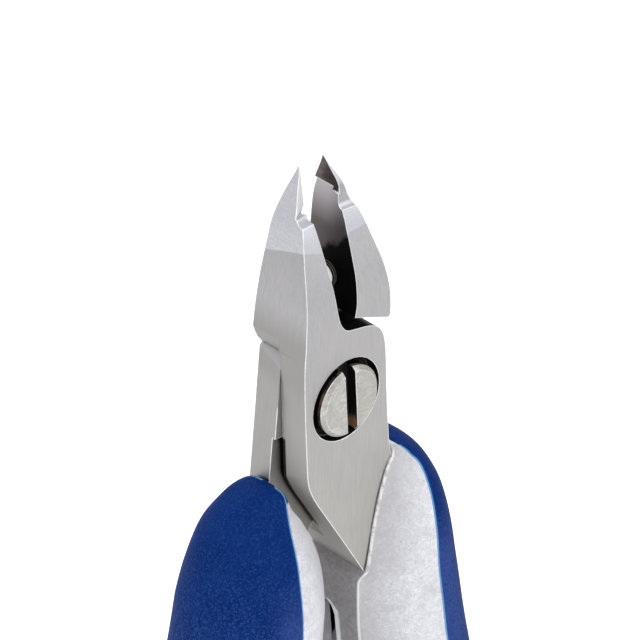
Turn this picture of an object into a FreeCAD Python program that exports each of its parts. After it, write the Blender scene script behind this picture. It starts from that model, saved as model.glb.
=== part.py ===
# Small diagonal cutting pliers: tapered, relieved head on a screwed lap joint, with two-part grips
# and a leaf return spring in each handle.
#
# Frame: +Z runs from the joint to the tips, the pivot turns about Y, the front face (screw head)
# looks along -Y. The origin is the pivot centre at mid thickness. Millimetres.
# Both halves are drawn closed and then turned apart by half the opening angle.
import FreeCAD, Part
import os, math
import Sketcher
from FreeCAD import Vector, Placement, Rotation

doc = FreeCAD.newDocument("cutting_pliers")

# ---------------------------------------------------------------- driving dimensions
CELLS = [
    ("head_thick", 6.5), ("lap_gap", 0.03), ("open_angle", 7.4),
    ("bore_dia", 4.08), ("screw_dia", 4.0), ("screw_hole_dia", 4.04),
    ("recess_dia", 7.93), ("recess_depth", 1.25), ("washer_dia", 7.3), ("washer_thick", 0.22),
    ("screw_head_dia", 6.76), ("screw_head_thick", 1.70), ("screw_length", 5.0),
    ("slot_width", 1.2), ("slot_depth", 1.15), ("slot_turn", 9.0), ("head_bevel", 0.36),
    ("stop_dia", 2.2), ("stop_hole_dia", 2.24), ("stop_height", 10.5), ("stop_offset", 0.7),
    ("stop_length", 4.05), ("stop_end_gap", 0.12), ("left_relief", 0.78), ("right_relief", 0.36),
    ("spring_thick", 0.55), ("spring_width", 2.3), ("spring_length", 30.4), ("spring_mid", 0.9),
    ("spring_eye_dia", 2.6), ("spring_curl_dia", 2.4), ("spring_slot_width", 2.6),
    ("eye_x", 4.0), ("eye_z", -30.5), ("pin_dia", 1.4), ("pin_hole_dia", 1.42), ("eye_bore_dia", 1.5),
    ("tang_front", 2.6), ("tang_back", 3.0), ("shank_step", 0.35), ("bore_lead", 0.3),
]
sheet = doc.addObject("Spreadsheet::Sheet", "dimensions")
for i, (name, value) in enumerate(CELLS):
    sheet.set("A%d" % (i + 1), name)
    sheet.set("B%d" % (i + 1), str(value))
    sheet.setAlias("B%d" % (i + 1), name)
doc.recompute()
D = {name: float(sheet.get(name)) for name, _ in CELLS}
HALF = D["head_thick"] / 2


def origin_plane(body, role):
    for f in body.Origin.OriginFeatures:
        if f.Role == role:
            return f


def new_body(label):
    b = doc.addObject("PartDesign::Body", label)
    b.Label = label
    return b


def new_sketch(body, name, role, offset=0.0, offset_expr=None):
    s = body.newObject("Sketcher::SketchObject", name)
    s.AttachmentSupport = [(origin_plane(body, role), "")]
    s.MapMode = "FlatFace"
    s.AttachmentOffset = Placement(Vector(0, 0, offset), Rotation())
    if offset_expr:
        s.setExpression("AttachmentOffset.Base.z", offset_expr)
    return s


def outline(s, items):
    """Closed outline, joined end to end. A point is a corner; a list of points is one smooth curve."""
    runs = [i if isinstance(i, list) else [i] for i in items]
    base = s.GeometryCount
    geo = []
    n = len(runs)
    for i in range(n):
        run, nxt = runs[i], runs[(i + 1) % n]
        if len(run) > 1:
            c = Part.BSplineCurve()
            c.interpolate([Vector(x, y, 0) for x, y in run])
            geo.append(c)
        a, b = run[-1], nxt[0]
        if math.hypot(a[0] - b[0], a[1] - b[1]) > 1e-7:
            geo.append(Part.LineSegment(Vector(a[0], a[1], 0), Vector(b[0], b[1], 0)))
    for g in geo:
        s.addGeometry(g, False)
    for i in range(len(geo)):
        s.addConstraint(Sketcher.Constraint("Coincident", base + i, 2, base + (i + 1) % len(geo), 1))


def circle(s, x, y, dia_name, expr=None):
    g = s.addGeometry(Part.Circle(Vector(x, y, 0), Vector(0, 0, 1), D[dia_name] / 2), False)
    c = s.addConstraint(Sketcher.Constraint("Diameter", g, D[dia_name]))
    s.setExpression("Constraints[%d]" % c, expr or ("dimensions." + dia_name))
    return g


def pad(body, s, length, expr=None, symmetric=False, reverse=False):
    p = body.newObject("PartDesign::Pad", s.Name + "_pad")
    p.Profile = s
    p.Length = length
    if expr:
        p.setExpression("Length", expr)
    if symmetric:
        p.SideType = "Symmetric"
    p.Reversed = reverse
    s.Visibility = False
    doc.recompute()
    return p


def pocket(body, s, length, expr=None, symmetric=False, reverse=False):
    before = body.Tip.Shape.Volume
    p = body.newObject("PartDesign::Pocket", s.Name + "_pocket")
    p.Profile = s
    p.Length = length
    if expr:
        p.setExpression("Length", expr)
    if symmetric:
        p.SideType = "Symmetric"
    p.Reversed = reverse
    s.Visibility = False
    doc.recompute()
    after = body.Tip.Shape.Volume
    if not after < before - 1e-4:
        raise RuntimeError("%s cut nothing (%.4f -> %.4f)" % (s.Name, before, after))
    return p


def mirror(pts):
    return [(-x, z) for x, z in reversed(pts)]


def arc_pts(r, a0, a1, n):
    return [(r * math.cos(math.radians(a0 + (a1 - a0) * i / n)),
             r * math.sin(math.radians(a0 + (a1 - a0) * i / n))) for i in range(n + 1)]


# Outer edge of a jaw, from the tip down to the shoulder (x, z), for the right jaw.
JAW_TIP = [(0.10, 21.38), (0.30, 20.72), (0.62, 20.08), (1.04, 19.15), (1.38, 18.3), (1.80, 17.5), (2.13, 16.85)]
JAW_SIDE = [(2.13, 16.85), (2.52, 15.9), (2.91, 14.75), (3.53, 12.8), (3.97, 11.15), (4.28, 9.6), (4.48, 8.2), (4.56, 7.1)]
# Front face of a jaw, from the head down (y, z).
SLOPE = [(-0.53, 17.05), (-1.24, 15.5), (-1.83, 14.0), (-2.43, 12.5), (-2.90, 11.0), (-3.16, 9.5), (-3.25, 8.0)]
BACK = [(3.25, 6.9), (3.17, 8.4), (3.11, 10.0), (3.07, 12.0), (3.07, 15.5), (3.06, 17.0), (2.86, 18.4), (2.38, 20.0), (1.98, 21.5)]
# Tang of the right handle: outer edge going down, inner edge coming back up (x, z).
TANG_OUT = [(5.5, -12.5), (6.9, -15.5), (8.0, -18.5), (8.7, -22.0), (9.4, -30.0), (11.0, -40.0), (13.2, -52.0),
            (15.0, -64.0), (16.0, -76.0), (16.3, -89.0), (15.5, -92.0)]
TANG_IN = [(13.2, -92.0), (12.4, -89.0), (12.0, -76.0), (10.8, -64.0), (8.9, -52.0), (6.7, -40.0),
           (6.2, -37.0), (3.2, -34.5), (2.75, -29.0), (2.5, -24.0), (1.92, -19.91)]

# ---------------------------------------------------------------- front lever: left jaw, front lap
lr = D["left_relief"]
front = new_body("front_lever")
FRONT = ([(-0.015, 21.38), (-0.015, 17.75), (-lr, 17.35),
          [(-lr - 0.03, 12.4), (-lr, 10.5), (-0.68, 9.04), (-0.50, 8.15), (-0.20, 7.50), (0.10, 7.13),
           (0.55, 6.87), (1.17, 6.70), (1.77, 6.56), (2.36, 6.40), (3.07, 6.15), (3.62, 5.85), (4.05, 5.47),
           (4.36, 5.00), (4.58, 4.42), (4.71, 3.75), (4.79, 3.0), (4.83, 1.68)],
          (4.87, -2.58), (4.95, -4.76), (5.04, -6.95), (5.35, -9.2)]
         + TANG_OUT + TANG_IN
         + [(-1.09, -14.21),
            [(-3.64, -9.47), (-4.13, -8.45), (-4.50, -7.5), (-4.70, -6.6), (-4.78, -5.6), (-4.80, -3.93)],
            (-4.84, -0.75), (-4.84, 2.4)]
         + [[(-4.84, 2.4), (-4.80, 4.4), (-4.70, 6.0)] + [(-x, z) for x, z in reversed(JAW_SIDE)]]
         + [[(-x, z) for x, z in reversed(JAW_TIP)]])
s = new_sketch(front, "front_outline", "XZ_Plane")
outline(s, FRONT)
pad(front, s, D["head_thick"], "dimensions.head_thick", symmetric=True)

# Rear half of the joint: a shoulder concentric with the pivot under the jaw, and a sloping
# shoulder above the handle. The other lever's lap lies between them.
s = new_sketch(front, "front_lap_seat", "XZ_Plane", D["lap_gap"] / 2, "dimensions.lap_gap / 2")
outline(s, [(-7, 6.95), (-4.60, 6.9), (-4.40, 6.2), (-4.12, 5.5), (-3.66, 4.80)]
        + arc_pts(6.03, 127.5, 97.7, 6)
        + [(-lr, 10.0), (9, 10.0), (9, -7.1), (5.12, -7.1), (3.97, -9.60), (1.42, -14.36), (0.20, -16.67),
           (-0.9, -18.6), (-7, -18.6)])
pocket(front, s, HALF + 0.2, "dimensions.head_thick / 2 + 0.2")

# Left wall of the lap leans in towards the parting plane.
s = new_sketch(front, "front_wall_draft", "XY_Plane", -9.4)
outline(s, [(-4.86, -3.3), (-4.55, 0.05), (-5.6, 0.05), (-5.6, -3.3)])
pocket(front, s, 15.2, reverse=True)

# Front face of the jaw slopes back to the tip; the back face stays flat and falls away at the tip.
s = new_sketch(front, "front_jaw_slope", "YZ_Plane")
outline(s, [list(reversed(SLOPE)),
            [(-0.53, 17.05), (-0.30, 17.07), (0.06, 17.19), (0.36, 17.42), (0.58, 17.75), (0.70, 18.2)],
            (0.92, 19.15), (1.2, 20.08), (1.5, 20.8), (1.7, 21.5), (1.7, 23), (-6, 23), (-6, 8.0)])
pocket(front, s, 12.0, symmetric=True)
s = new_sketch(front, "front_jaw_back", "YZ_Plane")
outline(s, [BACK, (1.98, 23), (6, 23), (6, 6.9)])
pocket(front, s, 12.0, symmetric=True)
# Ground facet on the front of the relieved tip, leaning with the tip.
s = new_sketch(front, "front_tip_facet", "XY_Plane", 17.5)
s.AttachmentOffset = Placement(Vector(0, 0, 17.5), Rotation(Vector(1, 0, 0), -5.7))
outline(s, [(-1.9, 0.50), (0.5, 1.64), (0.5, -4), (-1.9, -4)])
pocket(front, s, 5.0, reverse=True)

# Tang, narrower than the head inside the grip.
s = new_sketch(front, "front_tang_face", "YZ_Plane")
outline(s, [(-D["tang_front"], -21.5), (-D["tang_front"], -100), (-6, -100), (-6, -21.5)])
pocket(front, s, 60.0, symmetric=True)

# Screw recess and bore.
s = new_sketch(front, "front_recess", "XZ_Plane", HALF, "dimensions.head_thick / 2")
circle(s, 0, 0, "recess_dia")
pocket(front, s, D["recess_depth"], "dimensions.recess_depth")
s = new_sketch(front, "front_bore", "XZ_Plane", HALF, "dimensions.head_thick / 2")
circle(s, 0, 0, "bore_dia")
pocket(front, s, 2 * HALF, "dimensions.head_thick")

# ---------------------------------------------------------------- rear lever: right jaw, rear lap
rr = D["right_relief"]
rear = new_body("rear_lever")
REAR_L = ([(0.015, 21.38), (0.015, 19.1), (rr + 0.04, 18.8), (rr, 15.0), (rr, 9.2),
           (0.27, 8.4), (0.18, 7.93), (0.10, 7.0), (-0.15, 6.2)]
          + [arc_pts(5.93, 96.5, 149.5, 9)]
          + [(-5.04, 2.2), (-4.97, 1.04), (-4.98, -1.3), (-4.98, -3.83), (-5.12, -5.75), (-5.22, -8.17), (-5.4, -9.4)]
          + [(-x, z) for x, z in TANG_OUT] + [(-x, z) for x, z in TANG_IN]
          + [(1.09, -14.21),
             [(3.64, -9.47), (4.13, -8.45), (4.50, -7.5), (4.70, -6.6), (4.78, -5.6), (4.80, -3.93)],
             (4.84, 0.0), (4.84, 3.0)]
          + [[(4.84, 3.0), (4.80, 4.4), (4.70, 6.0)] + list(reversed(JAW_SIDE))]
          + [list(reversed(JAW_TIP))])
s = new_sketch(rear, "rear_outline", "XZ_Plane")
outline(s, REAR_L)
pad(rear, s, D["head_thick"], "dimensions.head_thick", symmetric=True)

# Front half of the joint is cut away under the jaw and above the handle.
REAR_LIP = [(-1.85, -20.4), (-2.75, -15.5), (-3.7, -13.6), (-5.55, -10.6), (-9, -10.6)]
s = new_sketch(rear, "rear_lap_seat", "XZ_Plane", -D["lap_gap"] / 2, "-dimensions.lap_gap / 2")
outline(s, [(-9, 7.97), (0.17, 7.95), (4.30, 6.62), (4.50, 6.72), (4.60, 7.1), (9, 7.1), (9, -22.4), (-1.4, -22.4)] + REAR_LIP)
pocket(rear, s, HALF + 0.2, "dimensions.head_thick / 2 + 0.2", reverse=True)

# Forged surface of the handle root, a little below the ground lap face; it runs on under the other half.
s = new_sketch(rear, "rear_root_face", "XZ_Plane", -D["lap_gap"] / 2, "-dimensions.lap_gap / 2")
outline(s, [(-9, -3.80), (-3.0, -3.80), (-2.4, -7.9), (-1.0, -10.2), (2.8, -13.5), (3.0, -17.0), (-1.0, -21.5)] + REAR_LIP)
pocket(rear, s, D["shank_step"], "dimensions.shank_step")

# Left wall of the lap leans in towards the back.
s = new_sketch(rear, "rear_wall_draft", "XY_Plane", -9.6)
outline(s, [(-5.02, 0.0), (-4.42, 3.3), (-6.2, 3.3), (-6.2, 0.0)])
pocket(rear, s, 14.2, reverse=True)

s = new_sketch(rear, "rear_jaw_slope", "YZ_Plane")
outline(s, [list(reversed(SLOPE)),
            [(-0.53, 17.05), (-0.36, 17.10), (-0.14, 17.26), (0.02, 17.55), (0.09, 18.0), (0.10, 18.4)],
            [(0.10, 18.4), (0.20, 19.0), (0.55, 19.65), (0.95, 20.15), (1.40, 20.75), (1.88, 21.5)],
            (1.88, 23), (-6, 23), (-6, 8.0)])
pocket(rear, s, 12.0, symmetric=True)
s = new_sketch(rear, "rear_jaw_back", "YZ_Plane")
outline(s, [BACK, (1.98, 23), (6, 23), (6, 6.9)])
pocket(rear, s, 12.0, symmetric=True)
# Cutting bevel of the relieved tip: edge at the back, face leaning away to the front.
s = new_sketch(rear, "rear_tip_bevel", "XY_Plane", 18.30)
s.AttachmentOffset = Placement(Vector(0, 0, 18.30), Rotation(Vector(1, 0, 0), 10.0))
outline(s, [(0.015, 2.66), (0.50, 0.32), (0.52, -4), (-1, -4), (-1, 2.66)])
pocket(rear, s, 5.0, reverse=True)

s = new_sketch(rear, "rear_tang_face", "YZ_Plane")
outline(s, [(-D["tang_front"], -10.0), (-D["tang_front"], -100), (-6, -100), (-6, -10.0)])
pocket(rear, s, 60.0, symmetric=True)

# The back of the handle root is set in from the flat back of the head.
for body, top in ((rear, -9.3), (front, -7.7)):
    s = new_sketch(body, body.Name + "_root_back", "YZ_Plane")
    outline(s, [(D["tang_back"], top), (D["tang_back"], -100), (6, -100), (6, top)])
    pocket(body, s, 60.0, symmetric=True)

s = new_sketch(rear, "rear_bore", "XZ_Plane", HALF, "dimensions.head_thick / 2")
circle(s, 0, 0, "screw_hole_dia")
pocket(rear, s, 2 * HALF, "dimensions.head_thick")

# Blind hole for the stop screw in the inner face of the jaw.
s = new_sketch(rear, "rear_stop_hole", "YZ_Plane", 0.1)
circle(s, D["stop_offset"], D["stop_height"], "stop_hole_dia")
pocket(rear, s, rr + D["stop_length"] - (lr + rr - D["stop_end_gap"]), reverse=True)

# Slot and pin hole for the leaf spring in each tang.
for body, side in ((front, 1), (rear, -1)):
    s = new_sketch(body, body.Name + "_spring_slot", "YZ_Plane", side * 1.0)
    w, m = D["spring_slot_width"] / 2, D["spring_mid"]
    outline(s, [(m - w, -26.0), (m + w, -26.0), (m + w, -38.0), (m - w, -38.0)])
    pocket(body, s, 4.7, reverse=(side > 0))
    s = new_sketch(body, body.Name + "_pin_hole", "XZ_Plane", 4.0)
    circle(s, side * D["eye_x"], D["eye_z"], "pin_hole_dia")
    pocket(body, s, 8.0)

# ---------------------------------------------------------------- pivot screw and washer
screw = new_body("pivot_screw")
seat = HALF - D["recess_depth"] + D["washer_thick"]      # underside of the head, distance in front of mid plane
s = new_sketch(screw, "screw_head", "XZ_Plane", seat,
               "dimensions.head_thick / 2 - dimensions.recess_depth + dimensions.washer_thick")
circle(s, 0, 0, "screw_head_dia")
pad(screw, s, D["screw_head_thick"], "dimensions.screw_head_thick")
head_pad = screw.Tip
edge = None
for i, e in enumerate(head_pad.Shape.Edges):
    c = e.CenterOfMass
    if abs(c.y + seat + D["screw_head_thick"]) < 1e-3 and e.Curve.TypeId == "Part::GeomCircle":
        edge = "Edge%d" % (i + 1)
ch = screw.newObject("PartDesign::Chamfer", "screw_head_bevel")
ch.Base = (head_pad, [edge])
ch.Size = D["head_bevel"]
ch.setExpression("Size", "dimensions.head_bevel")
doc.recompute()
s = new_sketch(screw, "screw_shank", "XZ_Plane", seat,
               "dimensions.head_thick / 2 - dimensions.recess_depth + dimensions.washer_thick")
circle(s, 0, 0, "screw_dia")
pad(screw, s, D["screw_length"], "dimensions.screw_length", reverse=True)
s = new_sketch(screw, "screw_slot", "XZ_Plane", seat + D["screw_head_thick"],
               "dimensions.head_thick / 2 - dimensions.recess_depth + dimensions.washer_thick + dimensions.screw_head_thick")
t = math.radians(D["slot_turn"])
u, v = (-math.sin(t), math.cos(t)), (math.cos(t), math.sin(t))
q = [(4.2 * a * u[0] + D["slot_width"] / 2 * b * v[0], 4.2 * a * u[1] + D["slot_width"] / 2 * b * v[1])
     for a, b in ((1, 1), (1, -1), (-1, -1), (-1, 1))]
outline(s, q)
pocket(screw, s, D["slot_depth"], "dimensions.slot_depth")

washer = new_body("pivot_washer")
s = new_sketch(washer, "washer_ring", "XZ_Plane", HALF - D["recess_depth"],
               "dimensions.head_thick / 2 - dimensions.recess_depth")
circle(s, 0, 0, "washer_dia")
circle(s, 0, 0, "bore_dia")
pad(washer, s, D["washer_thick"], "dimensions.washer_thick")

# ---------------------------------------------------------------- stop screw in the right jaw
stop = new_body("stop_screw")
x_end = -lr + D["stop_end_gap"]
s = new_sketch(stop, "stop_round", "YZ_Plane", x_end, "dimensions.stop_end_gap - dimensions.left_relief")
circle(s, D["stop_offset"], D["stop_height"], "stop_dia")
pad(stop, s, D["stop_length"], "dimensions.stop_length")
edge = None
stop_pad = stop.Tip
for i, e in enumerate(stop_pad.Shape.Edges):
    if abs(e.CenterOfMass.x - x_end) < 1e-3 and e.Curve.TypeId == "Part::GeomCircle":
        edge = "Edge%d" % (i + 1)
ch = stop.newObject("PartDesign::Chamfer", "stop_bevel")
ch.Base = (stop_pad, [edge])
ch.Size = 0.18
doc.recompute()
# Socket in the end of the screw.
s = new_sketch(stop, "stop_socket", "YZ_Plane", x_end)
outline(s, [(D["stop_offset"] + 0.55 * math.cos(math.radians(60 * k)),
             D["stop_height"] + 0.55 * math.sin(math.radians(60 * k))) for k in range(6)])
pocket(stop, s, 0.7, reverse=True)

# ---------------------------------------------------------------- leaf springs and their pins


def leaf_profile():
    """Side outline of the right leaf in the closed position: eye, blade and curled foot (x, z)."""
    ex, ez, L = D["eye_x"], D["eye_z"], D["spring_length"]
    cr = D["spring_curl_dia"] / 2
    cx = cr + 0.07
    b = math.asin((ex - cx) / L)
    cz = ez - L * math.cos(b)
    er = D["spring_eye_dia"] / 2
    th = D["spring_thick"]
    # blade centre line: leaves the eye on its outer side and lands on the inner side of the curl
    p0 = Vector(ex + (er - th / 2) * math.cos(b), 0, ez - (er - th / 2) * math.sin(b))
    p1 = Vector(cx - (cr - th / 2) * math.cos(b), 0, cz + (cr - th / 2) * math.sin(b))
    mid = (p0 + p1) * 0.5 + Vector(0.55, 0, 0)
    c = Part.BSplineCurve()
    dirn = Vector(-math.sin(b), 0, -math.cos(b))
    c.interpolate(Points=[p0, mid, p1], Tangents=[dirn, (p1 - p0).normalize(), dirn],
                  TangentFlags=[True, False, True])
    left, right = [], []
    n = 28
    for i in range(n + 1):
        t = c.FirstParameter + (c.LastParameter - c.FirstParameter) * i / n
        p = c.value(t)
        d = c.tangent(t)[0]
        nrm = Vector(-d.z, 0, d.x)
        left.append((p.x + nrm.x * th / 2, p.z + nrm.z * th / 2))
        right.append((p.x - nrm.x * th / 2, p.z - nrm.z * th / 2))
    return (ex, ez, er, cx, cz, cr, left, right)


EX, EZ, ER, CX, CZ, CR, BL, BR = leaf_profile()
for label, side in (("right_leaf_spring", 1), ("left_leaf_spring", -1)):
    leaf = new_body(label)
    s = new_sketch(leaf, label + "_blade", "XZ_Plane", -D["spring_mid"], "-dimensions.spring_mid")
    outline(s, [(side * x, z) for x, z in BL + list(reversed(BR))])
    pad(leaf, s, D["spring_width"], "dimensions.spring_width", symmetric=True)
    s = new_sketch(leaf, label + "_eye", "XZ_Plane", -D["spring_mid"], "-dimensions.spring_mid")
    circle(s, side * EX, EZ, "spring_eye_dia")
    pad(leaf, s, D["spring_width"], "dimensions.spring_width", symmetric=True)
    s = new_sketch(leaf, label + "_foot", "XZ_Plane", -D["spring_mid"], "-dimensions.spring_mid")
    circle(s, side * CX, CZ, "spring_curl_dia")
    pad(leaf, s, D["spring_width"], "dimensions.spring_width", symmetric=True)
    s = new_sketch(leaf, label + "_eye_bore", "XZ_Plane", -D["spring_mid"], "-dimensions.spring_mid")
    circle(s, side * EX, EZ, "eye_bore_dia")
    pocket(leaf, s, 8.0, symmetric=True)
    s = new_sketch(leaf, label + "_foot_bore", "XZ_Plane", -D["spring_mid"], "-dimensions.spring_mid")
    circle(s, side * CX, CZ, "spring_curl_dia", "dimensions.spring_curl_dia - 2 * dimensions.spring_thick")
    pocket(leaf, s, 8.0, symmetric=True)
    # opening of the curl
    s = new_sketch(leaf, label + "_foot_gap", "XZ_Plane", -D["spring_mid"], "-dimensions.spring_mid")
    outline(s, [(side * (CX + 0.05), CZ), (side * (CX + 0.05), CZ + 1.6), (side * (CX + 1.6), CZ + 1.6),
                (side * (CX + 1.6), CZ)])
    pocket(leaf, s, 8.0, symmetric=True)

for label, side in (("right_spring_pin", 1), ("left_spring_pin", -1)):
    pin = new_body(label)
    s = new_sketch(pin, label + "_round", "XZ_Plane", D["tang_front"], "dimensions.tang_front")
    circle(s, side * EX, EZ, "pin_dia")
    pad(pin, s, D["tang_front"] + D["tang_back"], "dimensions.tang_front + dimensions.tang_back", reverse=True)

# ---------------------------------------------------------------- grips
# Cross-sections across the handle, by height: inner edge of each pad, parting line, outer edge, half depth.
#        z      xi_r   xi_l   xb     xo     b
GRIP = [(-8.17, 5.82,  5.50,  6.15,  6.9,   3.25),
        (-8.40, 5.55,  5.45,  6.30,  7.75,  3.75),
        (-8.9,  5.12,  5.30,  6.55,  8.65,  4.25),
        (-9.7,  4.60,  5.00,  7.00,  9.50,  4.80),
        (-11.3, 3.96,  4.00,  7.25,  10.50, 5.50),
        (-13.4, 3.31,  2.75,  7.35,  11.45, 6.12),
        (-15.4, 2.77,  1.90,  7.35,  12.0,  6.50),
        (-17.9, 2.27,  1.12,  7.3,   12.5,  6.82),
        (-19.7, 1.74,  0.82,  7.28,  12.78, 6.94),
        (-20.15, 0.84, 0.78,  7.28,  12.83, 6.97),
        (-22.0, 0.74,  0.70,  7.4,   13.05, 7.05),
        (-24.0, 0.72,  0.66,  7.6,   13.3,  7.1),
        (-28.0, 0.95,  0.90,  8.0,   13.9,  7.15),
        (-34.0, 1.95,  1.95,  8.9,   14.95, 7.25),
        (-42.0, 3.60,  3.60,  10.4,  16.6,  7.35),
        (-50.0, 5.25,  5.25,  12.0,  18.3,  7.4),
        (-58.0, 6.70,  6.70,  13.5,  19.8,  7.4),
        (-66.0, 7.90,  7.90,  14.7,  21.0,  7.35),
        (-74.0, 8.75,  8.75,  15.5,  21.85, 7.3),
        (-82.0, 9.20,  9.20,  15.9,  22.3,  7.2),
        (-90.0, 9.35,  9.35,  16.0,  22.3,  7.1),
        (-97.0, 9.35,  9.35,  15.9,  21.9,  6.85),
        (-103.0, 9.6,  9.6,   15.7,  21.1,  6.35),
        (-107.5, 10.3, 10.3,  15.5,  19.9,  5.5),
        (-110.3, 11.5, 11.5,  15.3,  18.5,  4.3),
        (-111.8, 13.0, 13.0,  15.2,  17.2,  2.8)]
# The left grip has a rounder top behind the front half, and its parting line curves in there:
# height, inner edge, parting line, outer edge, half depth.
LEFT_TOP = [(-8.05, 5.24, 5.27, 6.2, 0.8), (-8.15, 5.25, 5.30, 7.05, 1.7), (-8.4, 5.27, 5.52, 7.9, 2.42),
            (-9.0, 5.28, 5.92, 8.8, 3.12), (-10.3, 4.60, 6.28, 10.0, 4.0), (-12.64, 3.15, 6.52, 11.2, 5.28),
            (-15.4, 1.85, 6.53, 12.0, 6.10), (-17.9, 1.15, 6.56, 12.4, 6.68), (-19.5, 0.85, 6.62, 12.6, 6.93),
            (-20.15, 0.75, 6.64, 12.68, 7.0), (-22.0, 0.70, 6.76, 12.85, 7.05), (-24.0, 0.66, 6.92, 13.05, 7.1),
            (-28.0, 0.90, 7.47, 13.65, 7.15), (-34.0, 1.95, 8.44, 14.70, 7.25), (-42.0, 3.60, 10.05, 16.35, 7.35)]
CREASE = 3.5


def grip_section(xi, x0, xb, xo, b, outer):
    pts = []
    if outer:
        n = 16
        for i in range(n + 1):
            a = -math.pi / 2 + math.pi * i / n
            pts.append((xb + (xo - xb) * math.cos(a), b * math.sin(a)))
    else:
        k = min(CREASE, 0.85 * b)
        half = []
        for t in (1.0, 0.82, 0.64, 0.46, 0.30, 0.16, 0.06, 0.0):
            x = xi + (xb - xi) * t
            rise = max(0.0, 1 - max(0.0, x - x0) / (xb - x0))
            half.append((x, k + (b - k) * (1 - rise ** 1.9)))
        half.append((xi, k - 0.3))
        pts = half + [(x, -y) for x, y in reversed(half)]
    return pts


def ruled_solid(sections):
    """Closed solid through same-count sections [(x, y)...] at heights z, each joint straight."""
    wires = []
    for z, pts in sections:
        v = [Vector(x, y, z) for x, y in pts]
        wires.append(Part.makePolygon(v + [v[0]]))
    solid = Part.makeLoft(wires, True, True)
    if solid.Volume < 0:
        solid.reverse()
    return solid


def feature(name, shape, placement=None):
    f = doc.addObject("Part::Feature", name)
    f.Shape = shape
    if placement is not None:
        f.Placement = placement
    return f


grips = []
for side, tag, lever in ((1, "right", front), (-1, "left", rear)):
    for outer, part in ((True, "grip_shell"), (False, "grip_pad")):
        secs = []
        for row, (z, xr, xl, xb, xo, b) in enumerate(GRIP):
            xi = xr if side > 0 else xl
            xb += 0.15 * side
            xo += 0.25 * side * min(1.0, max(0.0, (-14.0 - z) / 10.0))
            if side < 0 and row < len(LEFT_TOP):
                z, xi, xb, xo, b = LEFT_TOP[row]
            # the swell of the pad starts at its edge beside the metal, then at the crease
            x0 = max(xi, {-20.15: 1.55, -22.0: 1.1}.get(z, 0.0) * max(side, 0)) if z > -23.0 else min(xi, 0.8)
            secs.append((z, [(side * x, y) for x, y in grip_section(xi, x0, xb, xo, b, outer)]))
        body_shape = ruled_solid(secs)
        cut = lever.Shape.copy()
        cut.Placement = Placement()
        shape = body_shape.cut(cut)
        if not outer:
            # slot for the leaf spring, and room for the spring eye and pin
            w, m = D["spring_slot_width"] / 2, D["spring_mid"]
            slot = Part.makePolygon([Vector(0, m - w, -25.4), Vector(0, m - 0.35, -24.1), Vector(0, m + 0.35, -24.1),
                                     Vector(0, m + w, -25.4), Vector(0, m + w, -46.0), Vector(0, m + 0.6, -47.5),
                                     Vector(0, m - 0.6, -47.5), Vector(0, m - w, -46.0), Vector(0, m - w, -25.4)])
            slot = Part.Face(slot).extrude(Vector(side * 6.2, 0, 0))
            shape = shape.cut(slot)
            pin_room = Part.makeCylinder(D["pin_hole_dia"] / 2, D["tang_front"] + D["tang_back"],
                                         Vector(side * EX, -D["tang_front"], EZ), Vector(0, 1, 0))
            shape = shape.cut(pin_room)
        solids = sorted(shape.Solids, key=lambda q: -q.Volume)
        shape = solids[0]
        print(tag, part, "solids", len(solids), [round(q.Volume, 2) for q in solids[:4]])
        f = feature(tag + "_" + part, shape)
        f.Label = tag + "_" + part
        grips.append(f)

doc.recompute()

# ---------------------------------------------------------------- opened to the resting position
half_turn = D["open_angle"] / 2
# The origin is on the pivot axis, at the flat back of the head.
to_back = Vector(0, -D["head_thick"] / 2, 0)
turn_front = Placement(to_back, Rotation(Vector(0, 1, 0), -half_turn))
turn_rear = Placement(to_back, Rotation(Vector(0, 1, 0), half_turn))


def about(x, z, angle):
    c = Vector(x, 0, z)
    r = Rotation(Vector(0, 1, 0), angle)
    return Placement(c - r.multVec(c), r)


PLACE = {
    "front_lever": turn_front, "right_grip_shell": turn_front, "right_grip_pad": turn_front,
    "right_spring_pin": turn_front, "pivot_washer": turn_front,
    "right_leaf_spring": turn_front.multiply(about(EX, EZ, D["open_angle"])),
    "rear_lever": turn_rear, "left_grip_shell": turn_rear, "left_grip_pad": turn_rear,
    "left_spring_pin": turn_rear, "pivot_screw": turn_rear, "stop_screw": turn_rear,
    "left_leaf_spring": turn_rear.multiply(about(-EX, EZ, -D["open_angle"])),
}
nodes = [o for o in doc.Objects if o.Label in PLACE]
for o in nodes:
    o.Placement = PLACE[o.Label]
doc.recompute()

bad = [o.Name for o in doc.Objects if "Invalid" in o.State or "Error" in o.State]
if bad:
    raise RuntimeError("objects in error: %s" % bad)
if len(nodes) != len(PLACE):
    raise RuntimeError("missing nodes")
os.makedirs("parts", exist_ok=True)
for o in nodes:
    sh = o.Shape
    if sh.isNull() or not sh.isValid() or not sh.Solids:
        raise RuntimeError("bad shape: " + o.Label)
for o in nodes:
    o.Shape.exportStep("parts/%s.step" % o.Label)
    bb = o.Shape.BoundBox
    print("%-20s solids %d vol %9.3f  x %.2f..%.2f y %.2f..%.2f z %.2f..%.2f" % (
        o.Label, len(o.Shape.Solids), o.Shape.Volume, bb.XMin, bb.XMax, bb.YMin, bb.YMax, bb.ZMin, bb.ZMax))
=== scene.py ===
import math
import bpy
import numpy as np
from mathutils import Matrix, Vector


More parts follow.
